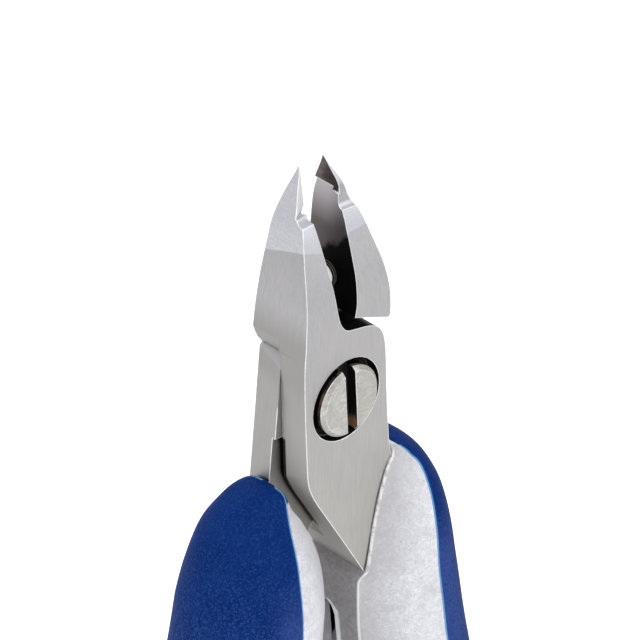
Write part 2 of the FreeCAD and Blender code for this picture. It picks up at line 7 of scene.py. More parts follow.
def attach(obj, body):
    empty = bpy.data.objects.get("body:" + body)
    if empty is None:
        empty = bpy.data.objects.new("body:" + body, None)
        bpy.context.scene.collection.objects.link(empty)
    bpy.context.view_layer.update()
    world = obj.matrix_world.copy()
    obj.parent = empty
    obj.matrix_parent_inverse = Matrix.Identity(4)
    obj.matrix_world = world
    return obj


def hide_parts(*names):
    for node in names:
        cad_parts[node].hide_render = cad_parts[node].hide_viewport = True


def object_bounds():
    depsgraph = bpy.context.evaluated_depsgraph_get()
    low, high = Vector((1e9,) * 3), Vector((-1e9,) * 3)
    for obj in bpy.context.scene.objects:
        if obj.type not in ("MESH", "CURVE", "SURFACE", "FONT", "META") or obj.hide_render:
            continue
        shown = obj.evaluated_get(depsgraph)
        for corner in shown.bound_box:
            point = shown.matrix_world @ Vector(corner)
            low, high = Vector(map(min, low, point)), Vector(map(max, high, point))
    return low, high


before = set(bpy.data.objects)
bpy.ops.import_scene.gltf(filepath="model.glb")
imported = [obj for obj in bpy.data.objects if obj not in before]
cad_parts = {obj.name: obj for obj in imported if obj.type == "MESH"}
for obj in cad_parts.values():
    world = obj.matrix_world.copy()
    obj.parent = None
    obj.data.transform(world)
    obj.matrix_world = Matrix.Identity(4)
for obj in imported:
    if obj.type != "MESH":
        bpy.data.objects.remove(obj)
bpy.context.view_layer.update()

scene = bpy.context.scene
MM = 0.001
MID = -3.25        # middle of the head's thickness, in millimetres along Y


# ------------------------------------------------------------------ node helpers
class Mat:
    """A material with a Principled surface and short calls for its nodes."""

    def __init__(self, name):
        self.m = bpy.data.materials.new(name)
        self.m.use_nodes = True
        self.nt = self.m.node_tree
        self.p = [n for n in self.nt.nodes if n.type == "BSDF_PRINCIPLED"][0]
        self.geo = self.nt.nodes.new("ShaderNodeNewGeometry")
        self.tc = self.nt.nodes.new("ShaderNodeTexCoord")
        sep = self.nt.nodes.new("ShaderNodeSeparateXYZ")
        mp = self.nt.nodes.new("ShaderNodeMapping")
        mp.inputs["Scale"].default_value = (1000, 1000, 1000)
        mp.inputs["Location"].default_value = (0, -MID, 0)   # measured from the middle of the head
        self.nt.links.new(self.tc.outputs["Object"], mp.inputs["Vector"])
        self.mm = mp.outputs["Vector"]                       # position in millimetres
        self.nt.links.new(self.mm, sep.inputs[0])
        self.x, self.y, self.z = sep.outputs
        ns = self.nt.nodes.new("ShaderNodeSeparateXYZ")
        self.nt.links.new(self.tc.outputs["Normal"], ns.inputs[0])
        self.nx, self.ny, self.nz = ns.outputs

    def put(self, socket, v):
        if v is None:
            return
        if isinstance(v, (int, float)):
            socket.default_value = v
        elif isinstance(v, (tuple, list)):
            v = tuple(v)
            if len(v) == 3 and len(socket.default_value) == 4:
                v = v + (1.0,)
            socket.default_value = v
        else:
            self.nt.links.new(v, socket)

    def math(self, op, a, b=None, c=None, clamp=False):
        n = self.nt.nodes.new("ShaderNodeMath")
        n.operation = op
        n.use_clamp = clamp
        for s, v in zip(n.inputs, (a, b, c)):
            self.put(s, v)
        return n.outputs[0]

    def mul(self, *a):
        r = a[0]
        for b in a[1:]:
            r = self.math("MULTIPLY", r, b)
        return r

    def add(self, a, b):
        return self.math("ADD", a, b)

    def step(self, v, lo, hi, a=0.0, b=1.0, kind="SMOOTHSTEP"):
        n = self.nt.nodes.new("ShaderNodeMapRange")
        n.interpolation_type = kind
        self.put(n.inputs["Value"], v)
        self.put(n.inputs["From Min"], lo)
        self.put(n.inputs["From Max"], hi)
        self.put(n.inputs["To Min"], a)
        self.put(n.inputs["To Max"], b)
        return n.outputs[0]

    def noise(self, scale, detail=3.0, rough=0.55, dist=0.0, vec=None, w=0.0):
        mp = self.nt.nodes.new("ShaderNodeMapping")
        mp.inputs["Scale"].default_value = scale if isinstance(scale, tuple) else (scale,) * 3
        mp.inputs["Location"].default_value = (w, w * 1.7, w * 0.6)
        self.nt.links.new(vec or self.mm, mp.inputs["Vector"])
        n = self.nt.nodes.new("ShaderNodeTexNoise")
        n.inputs["Scale"].default_value = 1.0
        n.inputs["Detail"].default_value = detail
        n.inputs["Roughness"].default_value = rough
        n.inputs["Distortion"].default_value = dist
        self.nt.links.new(mp.outputs[0], n.inputs["Vector"])
        return n.outputs["Fac"]

    def voronoi(self, scale, feature="F1", vec=None):
        n = self.nt.nodes.new("ShaderNodeTexVoronoi")
        n.feature = feature
        n.inputs["Scale"].default_value = scale
        self.nt.links.new(vec or self.mm, n.inputs["Vector"])
        return n

    def mix(self, f, a, b, kind="MIX"):
        n = self.nt.nodes.new("ShaderNodeMix")
        n.data_type = "RGBA"
        n.blend_type = kind
        self.put(n.inputs[0], f)
        self.put(n.inputs[6], a)
        self.put(n.inputs[7], b)
        return n.outputs[2]

    def mixf(self, f, a, b):
        n = self.nt.nodes.new("ShaderNodeMix")
        n.data_type = "FLOAT"
        self.put(n.inputs[0], f)
        self.put(n.inputs[2], a)
        self.put(n.inputs[3], b)
        return n.outputs[0]

    def attr(self, name):
        n = self.nt.nodes.new("ShaderNodeAttribute")
        n.attribute_name = name
        return n.outputs["Fac"]

    def bevel(self, radius_mm, samples=6):
        n = self.nt.nodes.new("ShaderNodeBevel")
        n.samples = samples
        n.inputs["Radius"].default_value = radius_mm * MM
        return n.outputs[0]

    def open_sky(self, dist_mm, lo=0.2, hi=0.8, samples=6):
        """1 on open surfaces, falling to 0 deep in a gap."""
        n = self.nt.nodes.new("ShaderNodeAmbientOcclusion")
        n.samples = samples
        n.inputs["Distance"].default_value = dist_mm * MM
        return self.step(n.outputs["AO"], lo, hi)

    def glow(self, amount):
        self.p.inputs["Emission Color"].default_value = (1, 1, 1, 1)
        self.put(self.p.inputs["Emission Strength"], amount)

    def edge(self, bevel_normal):
        """0 on a flat face, rising towards 1 on an edge."""
        d = self.nt.nodes.new("ShaderNodeVectorMath")
        d.operation = "DOT_PRODUCT"
        self.nt.links.new(bevel_normal, d.inputs[0])
        self.nt.links.new(self.geo.outputs["Normal"], d.inputs[1])
        return self.step(d.outputs["Value"], 0.995, 0.90, 0.0, 1.0)

    def bump(self, height, dist_mm, strength=1.0, normal=None):
        n = self.nt.nodes.new("ShaderNodeBump")
        n.inputs["Strength"].default_value = strength
        n.inputs["Distance"].default_value = dist_mm * MM
        self.put(n.inputs["Height"], height)
        if normal is not None:
            self.nt.links.new(normal, n.inputs["Normal"])
        return n.outputs[0]

    def done(self, color, rough, metallic=0.0, normal=None, **more):
        self.put(self.p.inputs["Base Color"], color)
        self.put(self.p.inputs["Roughness"], rough)
        self.put(self.p.inputs["Metallic"], metallic)
        if normal is not None:
            self.nt.links.new(normal, self.p.inputs["Normal"])
        for k, v in more.items():
            self.put(self.p.inputs[k.replace("_", " ")], v)
        return self.m


def srgb(r, g, b):
    return tuple((c / 255 / 12.92) if c <= 10 else (((c / 255) + 0.055) / 1.055) ** 2.4 for c in (r, g, b))


# ------------------------------------------------------------------ materials
def steel(name, half):
    """Satin ground lever: brushed along its length, fresh ground above the jaw line, painted shade (black with brown
    specks) inside the jaws.
    """
    m = Mat(name)
    long_grain = m.noise((5.5, 5.5, 0.30), 4.0, 0.62)
    fine_grain = m.noise((13.0, 13.0, 1.4), 3.0, 0.6, w=7)
    matt = m.noise(9.0, 3.0, 0.6, w=3)
    cloud = m.noise(0.32, 3.0, 0.5, w=11)
    base = m.mix(m.step(m.z, -16.0, 16.0), srgb(190, 187, 182), srgb(187, 186, 190))
    base = m.mix(m.mul(m.step(long_grain, 0.30, 0.72), 0.42), base, srgb(168, 165, 162))
    base = m.mix(m.mul(m.step(cloud, 0.35, 0.7), 0.25), base, srgb(196, 192, 187))
    base = m.mix(m.mul(m.step(matt, 0.45, 0.75), 0.34), base, srgb(206, 203, 200))
    # fresh ground zone on the jaws, with a crisp lower edge
    wave = m.mul(m.math("SUBTRACT", m.noise(0.6, 1.0, 0.5, w=21), 0.5), 0.25)
    level = m.add(m.z, wave)
    if half == "front":      # the grinding line leans down to the back and to the inside here
        level = m.add(level, m.mul(m.math("MAXIMUM", m.add(m.y, 1.45), 0.0), 0.30))
        level = m.add(level, m.mul(m.math("MAXIMUM", m.add(m.x, 3.9), 0.0), 0.33))
    ground = m.step(level, 15.12, 15.30)
    lines = m.noise((1.0, 1.0, 9.0), 3.0, 0.6, w=31)
    tip_col = m.mix(m.step(fine_grain, 0.3, 0.75), srgb(220, 219, 225), srgb(199, 198, 206))
    tip_col = m.mix(m.mul(m.step(lines, 0.4, 0.7), 0.30), tip_col, srgb(236, 236, 240))
    # painted shade: left-facing faces darker below the jaws
    left_low_shade = m.mul(m.step(m.nx, -0.4, -0.75), m.step(m.z, 10.0, 6.5))
    base = m.mix(m.mul(left_low_shade, m.step(m.z, 1.0, 3.0, 0.55, 0.90)), base, srgb(162, 160, 158))
    # painted shade: front-facing faces of the ground tips darker
    tip_col = m.mix(m.mul(m.step(m.ny, -0.45, -0.75), 0.55), tip_col, srgb(188, 187, 194))
    base = m.mix(ground, base, tip_col)
    rough = m.mixf(ground, 0.44, 0.34)
    rough = m.add(rough, m.mul(m.math("SUBTRACT", long_grain, 0.5), 0.12))
    bevel = m.bevel(0.14, 8)
    edge = m.edge(bevel)
    sky = m.open_sky(1.1, 0.12, 0.62)
    joined = m.mul(m.step(m.x, -3.2, -3.9), m.step(m.z, 1.0, 3.4), m.step(m.z, 9.5, 8.5))
    sky = m.math("MAXIMUM", sky, joined)
    if half == "rear":       # painted shadow: black gap along the edge of the other half, where it overhangs the root
        slit = m.open_sky(0.8, 0.56, 0.72, 16)
        sky = m.math("MINIMUM", sky, m.math("MAXIMUM", slit, m.step(m.z, -3.9, -3.5)))
    # painted highlight: edges picked out by the bevel mask, broken up by noise and kept out of gaps
    edge_highlight = m.mul(edge, m.step(m.noise(1.6, 3.0, 0.6, w=41), 0.25, 0.6, 0.6, 1.0), m.step(sky, 0.3, 0.8))
    if half == "front":      # no painted edge highlight where the two halves' left walls run on into one another
        seam = m.mul(m.step(m.x, -3.6, -4.2), m.step(m.y, -2.9, -2.5), m.step(m.z, 1.6, 2.4), m.step(m.z, 7.6, 6.8))
        edge_highlight = m.mul(edge_highlight, m.math("SUBTRACT", 1.0, seam))
    height = m.add(m.mul(long_grain, 0.6), m.add(m.mul(fine_grain, 0.5), m.mul(matt, 0.35)))
    # painted shade: black with brown specks on the inner faces of the jaws and the floor of the throat
    if half == "rear":
        face = m.mul(m.step(m.nx, -0.55, -0.85), m.step(m.x, 0.2, 0.6), m.step(m.z, 4.0, 5.0))
        throat = m.mul(m.step(m.nz, 0.4, 0.7), m.step(m.z, 4.4, 4.9), m.step(m.z, 10.0, 9.0), m.step(m.y, -0.6, -0.3),
                       m.step(m.x, 4.3, 3.2))
    else:
        face = m.mul(m.step(m.nx, 0.55, 0.85), m.step(m.x, 1.6, 1.2), m.step(m.z, 6.0, 7.0), m.step(m.z, 19.0, 18.0))
        throat = m.mul(m.step(m.nz, 0.15, 0.45), m.step(m.z, 4.6, 5.2), m.step(m.z, 10.5, 9.0), m.step(m.x, 4.2, 2.2))
    jag = m.mul(m.math("SUBTRACT", m.noise(0.9, 5.0, 0.7, w=51), 0.5), 2.2)
    if half == "rear":
        jag = m.add(jag, m.mul(m.y, 0.875))
    shade_edge_z = m.step(m.add(m.z, jag), 14.3, 13.2)
    # painted shade: the inner faces are grey near the tips and darken down towards the throat
    inner_shade_fall = m.step(m.z, 19.0, 14.4)
    inner_face_shade_col = m.mix(inner_shade_fall, srgb(186, 181, 184), srgb(104, 96, 97))
    tipz = m.step(m.z, 18.95, 19.05)
    if half == "rear":       # the cutting bevel leans away to the front
        tipz = m.mul(m.step(m.ny, -0.07, -0.13), m.step(m.z, 17.9, 18.1))
    speck = m.step(m.noise(4.2, 4.0, 0.7, w=61), 0.60, 0.72)
    jaw_shade_col = m.mix(m.mul(speck, m.step(m.z, 8.0, 15.0, 0.10, 0.8)), srgb(4, 3, 3), srgb(86, 44, 34))
    inner_face_shade_col = m.mix(shade_edge_z, inner_face_shade_col, jaw_shade_col)
    base = m.mix(m.mul(face, m.math("SUBTRACT", 1.0, tipz)), base, inner_face_shade_col)
    tip_mirror = m.mix(m.noise((0.5, 0.5, 1.6), 2.0, 0.5, w=71), srgb(62, 54, 54), srgb(128, 118, 118))
    mirror_on = m.mul(face, tipz)
    base = m.mix(mirror_on, base, tip_mirror)
    base = m.mix(throat, base, jaw_shade_col)
    dark = m.math("MAXIMUM", m.mul(face, shade_edge_z), throat)
    edge_highlight = m.mul(edge_highlight, m.math("SUBTRACT", 1.0, dark))
    if half == "rear":       # the top corner of the left lap is rounded over, with no bright edge
        lap_top = m.mul(m.step(m.x, -2.0, -2.6), m.step(m.z, -0.6, 0.0), m.step(m.z, 9.0, 8.6))
        edge_highlight = m.mul(edge_highlight, m.math("SUBTRACT", 1.0, lap_top))
    # painted highlight: the edges are lightened to near white
    base = m.mix(edge_highlight, base, (0.95, 0.95, 0.95))
    # painted highlight: the edges also glow, more strongly low on the head
    shine = m.step(m.z, 2.0, -2.0, 0.26, 0.42)
    if half == "front":      # no highlight on the bottom edge of the left wall
        shine = m.mul(shine, m.math("MAXIMUM", m.step(m.y, -0.36, -0.60), m.step(m.z, -3.6, -3.2)))
    m.glow(m.mul(edge_highlight, shine))
    rough = m.mixf(dark, rough, 0.62)
    rough = m.mixf(mirror_on, rough, 0.16)
    metal = m.mixf(dark, 0.86, 0.0)
    if half == "front":
        # painted tone: the lower left-facing faces are made matt, barely metallic and a set grey, standing in for how
        # they are lit
        even_tone_patch = m.mul(m.step(m.nx, -0.35, -0.7), m.step(m.z, 3.0, -3.0))
        metal = m.mul(metal, m.step(even_tone_patch, 0.0, 1.0, 1.0, 0.15))
        rough = m.mixf(even_tone_patch, rough, 0.65)
        base = m.mix(m.mul(even_tone_patch, 0.6), base, srgb(176, 173, 167))
    m.put(m.p.inputs["Specular IOR Level"], m.mixf(dark, 0.5, 0.08))
    # painted shade: the screw's recess is darkened to near black, with brown specks
    if half == "front":
        r = m.math("SQRT", m.add(m.mul(m.x, m.x), m.mul(m.z, m.z)))
        recess_shade = m.mul(m.step(r, 4.03, 3.99), m.step(m.y, -3.24, -3.16))
        # painted highlight: small facet on the front of the relieved tip, made near white and barely metallic
        facet_highlight = m.mul(m.step(m.nx, 0.2, 0.32), m.step(m.nx, 0.62, 0.52), m.step(m.z, 17.3, 17.6))
        base = m.mix(facet_highlight, base, srgb(250, 250, 252))
        base = m.mix(recess_shade, base, m.mix(m.mul(speck, 0.8), srgb(7, 5, 5), srgb(74, 48, 34)))
        rough = m.mixf(recess_shade, rough, 0.6)
        metal = m.mixf(recess_shade, m.mixf(facet_highlight, metal, 0.15), 0.0)
        # painted shadow: fine dark line where the face runs under the lip of the right pad
        ca, sa = math.cos(math.radians(3.7)), math.sin(math.radians(3.7))
        xl = m.add(m.mul(m.x, ca), m.mul(m.z, sa))
        zl = m.math("SUBTRACT", m.mul(m.z, ca), m.mul(m.x, sa))
        fit = np.polyfit([-8.9, -9.7, -11.3, -13.4, -15.4, -17.9, -19.7], [5.12, 4.60, 3.96, 3.31, 2.77, 2.27, 1.74], 3)
        curve = float(fit[0])
        for c in fit[1:]:
            curve = m.add(m.mul(zl, curve), float(c))
        off = m.math("SUBTRACT", curve, xl)
        gap = m.mul(m.step(off, 0.27, 0.13), m.step(m.ny, -0.8, -0.95), m.step(m.y, -3.1, -3.2), m.step(m.z, -8.6, -9.2),
                    m.step(m.z, -21.0, -20.0), m.step(m.noise(1.3, 3.0, 0.6, w=81), 0.30, 0.50, 0.25, 1.0))
        base = m.mix(m.mul(gap, 0.9), base, srgb(40, 28, 22))
        metal = m.mul(metal, m.step(gap, 1.0, 0.2))
    else:
        # light rim round the stop screw's hole
        ys, zs = m.math("SUBTRACT", m.y, 0.70), m.math("SUBTRACT", m.z, 10.45)
        rs = m.math("SQRT", m.add(m.mul(ys, ys), m.mul(zs, zs)))
        rim = m.mul(m.step(rs, 1.11, 1.14), m.step(rs, 1.27, 1.22), m.step(m.nx, -0.55, -0.85), m.step(m.x, 3.0, 2.0))
        base = m.mix(m.mul(rim, 0.85), base, srgb(150, 142, 136))
        # the lap faces are painted a darker brownish grey
        lap = m.mul(m.step(m.ny, -0.6, -0.9), m.step(m.y, -0.3, 0.2))
        base = m.mix(m.mul(lap, 0.35), base, srgb(120, 112, 104))
    # painted light and shade: the rounded shoulder above the left lap is made one even matt grey, standing in for how
    # it is lit
    shoulder = m.mul(m.step(m.nz, 0.15, 0.45), m.step(m.x, -2.6, -3.4), m.step(m.z, 1.5, 2.5), m.step(m.z, 8.5, 7.5))
    base = m.mix(m.mul(shoulder, 0.9), base, srgb(174, 173, 175))
    metal = m.mul(metal, m.step(shoulder, 0.0, 1.0, 1.0, 0.05))
    rough = m.mixf(shoulder, rough, 0.7)
    # painted shade: gaps and crevices darkened to near black from the occlusion mask
    base = m.mix(m.math("SUBTRACT", 1.0, sky), base, srgb(5, 4, 4))
    metal = m.mul(metal, m.step(sky, 0.0, 0.5))
    if half == "front":      # shadow line along the bottom edge of the left wall, over the other half's root
        foot = m.mul(m.step(m.y, -0.44, -0.33), m.step(m.nx, -0.15, -0.35), m.step(m.z, -3.4, -3.8), m.step(m.z, -15.2, -14.2))
        base = m.mix(foot, base, srgb(8, 5, 4))
        metal = m.mul(metal, m.math("SUBTRACT", 1.0, foot))
    n = m.bump(height, 0.006, 0.6, bevel)
    return m.done(base, m.math("MAXIMUM", rough, 0.1), metal, n)


def nickel(name, kind):
    m = Mat(name)
    fine = m.noise((3.0, 3.0, 9.0), 3.0, 0.6, w=2)
    blot = m.noise(0.9, 3.0, 0.6, w=5)
    if kind == "pivot":
        r = m.math("SQRT", m.add(m.mul(m.x, m.x), m.mul(m.z, m.z)))
        turned = m.math("SINE", m.mul(r, 26.0))
        base = m.mix(m.step(blot, 0.3, 0.7), srgb(192, 190, 184), srgb(206, 203, 196))
        base = m.mix(m.mul(m.step(fine, 0.38, 0.66), 0.55), base, srgb(166, 164, 158))
        smear = m.noise((0.7, 0.7, 1.5), 4.0, 0.65, 0.8, w=15)
        base = m.mix(m.mul(m.step(smear, 0.50, 0.62), 0.5), base, srgb(226, 224, 218))
        nick = m.step(m.noise(2.4, 4.0, 0.7, w=33), 0.60, 0.70)
        base = m.mix(m.mul(nick, 0.6), base, srgb(148, 142, 132))
        # painted shade: the right half of the head is darker
        right_half = m.step(m.x, 0.4, 1.2)
        base = m.mix(m.mul(right_half, 0.45), base, srgb(178, 178, 168))
        # painted shade: the slot is near black, brown towards its lower end
        across = m.math("ABSOLUTE", m.add(m.mul(m.x, 0.9957), m.mul(m.z, 0.0924)))
        slot = m.mul(m.step(m.y, -3.89, -3.84), m.step(m.y, -2.5, -2.6), m.step(across, 0.66, 0.63))
        slot_brown_low = m.step(m.add(m.z, m.mul(blot, 1.6)), -1.1, -1.7)
        slot_shade_col = m.mix(slot_brown_low, srgb(10, 8, 7), srgb(116, 90, 64))
        base = m.mix(slot, base, slot_shade_col)
        # painted shade: the side of the head is near black, with a brownish band
        side = m.mul(m.step(r, 3.31, 3.36), m.step(m.y, -3.55, -3.50))
        band = m.mul(m.step(m.y, -3.50, -3.42), m.step(m.y, -3.18, -3.28))
        side_shade_col = m.mix(m.mul(band, m.step(blot, 0.35, 0.6)), srgb(9, 7, 6), srgb(104, 84, 66))
        base = m.mix(side, base, side_shade_col)
        height = m.add(m.mul(turned, 0.15), m.mul(fine, 0.8))
        metal = m.mixf(m.math("MAXIMUM", slot, side), 0.88, 0.0)
        rough = m.step(fine, 0.2, 0.8, 0.30, 0.42)
    else:
        # painted highlight and shade: a bright crescent ring on an end painted near black
        crescent_highlight = m.mul(m.step(m.x, 0.30, 0.36), m.step(m.x, 0.72, 0.62), m.step(blot, 0.25, 0.45, 0.6, 1.0))
        rim = m.mul(m.step(m.x, 0.86, 0.90), m.step(m.x, 1.0, 0.96))
        base = m.mix(crescent_highlight, srgb(6, 5, 5), srgb(222, 216, 212))
        base = m.mix(m.mul(rim, 0.8), base, srgb(156, 146, 138))
        height = fine
        metal = 0.0
        rough = 0.3
    bevel = m.bevel(0.10, 6)
    edge = m.edge(bevel)
    # painted highlight: the pivot screw's front edges are lightened and glow; the stop screw's crescent glows
    lit = m.mul(edge, m.step(m.y, -3.4, -3.55)) if kind == "pivot" else m.mul(crescent_highlight, 1.6)
    if kind == "pivot":
        base = m.mix(lit, base, (0.94, 0.93, 0.91))
    m.glow(m.mul(lit, 0.25))
    return m.done(base, rough, metal, m.bump(height, 0.004, 0.5, bevel))


def strip(name, oiled=False):
    m = Mat(name)
    grain = m.noise((7.0, 7.0, 0.5), 4.0, 0.6)
    blot = m.noise(0.7, 3.0, 0.6, w=4)
    base = m.mix(m.step(grain, 0.3, 0.7), srgb(150, 150, 155), srgb(176, 176, 180))
    base = m.mix(m.mul(m.step(blot, 0.5, 0.75), 0.5), base, srgb(128, 116, 100))
    bevel = m.bevel(0.08, 6)
    # painted highlight: edges lightened
    base = m.mix(m.mul(m.edge(bevel), 0.6), base, (0.8, 0.8, 0.8))
    if oiled:
        base = m.mix(m.mul(m.step(blot, 0.5, 0.62), 0.8), srgb(9, 7, 6), srgb(84, 58, 40))
        return m.done(base, 0.55, 0.0, m.bump(grain, 0.004, 0.5), Specular_IOR_Level=0.1)
    return m.done(base, m.step(grain, 0.2, 0.8, 0.26, 0.40), 0.9, m.bump(grain, 0.004, 0.5, bevel))


def blue_shell():
    """Hard blue half of the grip: fine spark texture, paler where it meets the soft pad (painted light)."""
    m = Mat("blue_shell")
    g1 = m.noise(3.6, 3.0, 0.66, 0.3)
    g2 = m.noise(6.2, 2.0, 0.6, w=9)
    g3 = m.noise(3.0, 2.0, 0.62, 0.2, w=23)
    cloud = m.noise(0.35, 3.0, 0.5, w=5)
    pit = m.step(m.voronoi(4.6).outputs["Distance"], 0.05, 0.45)
    coarse = m.step(m.z, -9.0, -27.0, 0.30, 1.0)
    base = m.mix(m.step(cloud, 0.3, 0.7), srgb(6, 42, 106), srgb(12, 49, 114))
    base = m.mix(m.mul(m.step(g3, 0.50, 0.64), coarse, 0.85), base, srgb(3, 27, 78))
    base = m.mix(m.mul(m.step(g1, 0.50, 0.64), coarse, 0.8), base, srgb(38, 72, 138))
    base = m.mix(m.mul(m.step(g2, 0.53, 0.68), coarse, 0.7), base, srgb(80, 98, 156))
    # painted light: paler blue near the border with the pad
    near = m.mul(m.step(m.attr("rim"), 4.6, 0.9), m.step(m.z, -13.0, -20.0))
    base = m.mix(m.mul(near, m.step(g1, 0.3, 0.6, 0.35, 0.8)), base, srgb(60, 82, 150))
    # painted light: lighter patches low on the grip
    lower = m.mul(m.step(m.z, -16.0, -28.0), m.step(g3, 0.62, 0.42))
    base = m.mix(m.mul(lower, 0.30), base, srgb(44, 74, 138))
    rim = m.attr("rim")
    # painted highlight: a lighter band and a crisp light-cyan line along the border with the pad
    wob = m.add(rim, m.mul(m.math("SUBTRACT", g1, 0.5), 0.12))
    base = m.mix(m.mul(m.step(wob, 0.45, 0.02), 0.55), base, srgb(44, 92, 164))
    base = m.mix(m.step(wob, 0.24, 0.10), base, srgb(120, 178, 224))
    height = m.add(m.mul(g1, 0.9), m.add(m.mul(g2, 0.5), m.mul(pit, 0.35)))
    rough = m.step(g2, 0.25, 0.75, 0.40, 0.60)
    return m.done(base, rough, 0.0, m.bump(height, 0.035, 0.8), Specular_IOR_Level=0.015)


def white_pad():
    """Soft off-white half of the grip: faint mottling and specks, greyer on the flat inner faces (painted shade)."""
    m = Mat("white_pad")
    mott = m.noise(1.9, 6.0, 0.78, 0.6)
    vein = m.noise(0.9, 7.0, 0.80, 1.3, w=13)
    vein = m.step(m.math("ABSOLUTE", m.math("SUBTRACT", vein, 0.5)), 0.026, 0.0)
    speck = m.step(m.noise(4.6, 4.0, 0.65, w=17), 0.58, 0.70)
    fine = m.noise(8.0, 3.0, 0.6, w=19)
    base = m.mix(m.step(mott, 0.36, 0.64), srgb(240, 240, 243), srgb(220, 221, 227))
    patch = m.step(m.noise(0.22, 3.0, 0.6, 0.4, w=29), 0.40, 0.62)
    near = m.mul(m.step(m.x, -1.0, 0.0), m.step(m.x, 9.0, 3.5), m.step(m.z, -34.0, -24.0))
    patch = m.math("MAXIMUM", m.mul(patch, 0.8), near)
    base = m.mix(m.mul(vein, m.mixf(patch, 0.30, 0.80)), base, srgb(164, 163, 174))
    base = m.mix(m.mul(speck, m.mixf(patch, 0.35, 0.8)), base, srgb(176, 173, 180))
    blotch = m.step(m.noise(0.55, 5.0, 0.7, 0.8, w=37), 0.50, 0.66)
    base = m.mix(m.mul(blotch, m.mixf(patch, 0.25, 0.75)), base, srgb(200, 199, 205))
    crease = m.attr("crease")
    # painted shade: darker towards the crease
    base = m.mix(m.mul(m.step(crease, 4.2, 0.2), 0.62), base, srgb(182, 181, 183))
    inner = m.attr("inner")
    # painted shade: the flat inner faces are grey, with the pad's mottling, veins and specks
    inner_shade_col = m.mix(m.step(mott, 0.3, 0.7), srgb(168, 165, 166), srgb(134, 131, 132))
    inner_shade_col = m.mix(m.mul(vein, 0.4), inner_shade_col, srgb(110, 106, 108))
    inner_shade_col = m.mix(m.mul(speck, 0.4), inner_shade_col, srgb(190, 188, 190))
    base = m.mix(m.mul(inner, 0.9), base, inner_shade_col)
    # painted highlight: a bright white line along the crease of the right pad
    ragged = m.step(m.noise(1.5, 3.0, 0.6, w=43), 0.36, 0.50, 0.2, 1.0)
    line = m.mul(m.step(crease, 0.13, 0.04), m.step(inner, 0.95, 0.5), m.step(m.x, 0.0, 0.5),
                 m.math("MAXIMUM", m.step(m.z, -19.0, -20.0), ragged))
    base = m.mix(line, base, srgb(252, 252, 252))
    cap = m.mul(m.step(m.z, -8.35, -8.15), m.step(m.x, -4.0, -4.6))
    base = m.mix(cap, base, srgb(16, 56, 124))
    height = m.add(m.mul(fine, 0.7), m.mul(mott, 0.5))
    return m.done(base, m.step(fine, 0.2, 0.8, 0.55, 0.72), 0.0, m.bump(height, 0.02, 0.5),
                  Subsurface_Weight=0.06, Subsurface_Radius=(0.0008, 0.0008, 0.0009), Specular_IOR_Level=0.32)


front_steel, rear_steel = steel("front_steel", "front"), steel("rear_steel", "rear")
for node, mat in (("front_lever", front_steel), ("rear_lever", rear_steel), ("pivot_screw", nickel("screw_nickel", "pivot")),
                  ("stop_screw", nickel("stop_nickel", "stop")), ("pivot_washer", strip("washer_steel", True)),
                  ("right_leaf_spring", strip("right_strip")), ("left_leaf_spring", strip("left_strip")),
                  ("right_spring_pin", strip("right_pin")), ("left_spring_pin", strip("left_pin"))):
    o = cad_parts[node]
    o.data.materials.clear()
    o.data.materials.append(mat)

# ------------------------------------------------------------------ grips
# height, inner edge right, inner edge left, parting line, outer edge, half depth (closed position)
GRIP = [(-8.17, 5.82, 5.50, 6.15, 6.9, 3.25), (-8.40, 5.55, 5.45, 6.30, 7.75, 3.75), (-8.9, 5.12, 5.30, 6.55, 8.65, 4.25),
        (-9.7, 4.60, 5.00, 7.00, 9.50, 4.80), (-11.3, 3.96, 4.00, 7.25, 10.50, 5.50), (-13.4, 3.31, 2.75, 7.35, 11.45, 6.12),
        (-15.4, 2.77, 1.90, 7.35, 12.0, 6.50), (-17.9, 2.27, 1.12, 7.3, 12.5, 6.82), (-19.7, 1.74, 0.82, 7.28, 12.78, 6.94),
        (-20.15, 0.84, 0.78, 7.28, 12.83, 6.97), (-22.0, 0.74, 0.70, 7.4, 13.05, 7.05), (-24.0, 0.72, 0.66, 7.6, 13.3, 7.1),
        (-28.0, 0.95, 0.90, 8.0, 13.9, 7.15), (-34.0, 1.95, 1.95, 8.9, 14.95, 7.25), (-42.0, 3.60, 3.60, 10.4, 16.6, 7.35),
        (-50.0, 5.25, 5.25, 12.0, 18.3, 7.4), (-58.0, 6.70, 6.70, 13.5, 19.8, 7.4), (-66.0, 7.90, 7.90, 14.7, 21.0, 7.35),
        (-74.0, 8.75, 8.75, 15.5, 21.85, 7.3), (-82.0, 9.20, 9.20, 15.9, 22.3, 7.2), (-90.0, 9.35, 9.35, 16.0, 22.3, 7.1),
        (-97.0, 9.35, 9.35, 15.9, 21.9, 6.85), (-103.0, 9.6, 9.6, 15.7, 21.1, 6.35), (-107.5, 10.3, 10.3, 15.5, 19.9, 5.5),
        (-110.3, 11.5, 11.5, 15.3, 18.5, 4.3), (-111.8, 13.0, 13.0, 15.2, 17.2, 2.8)]
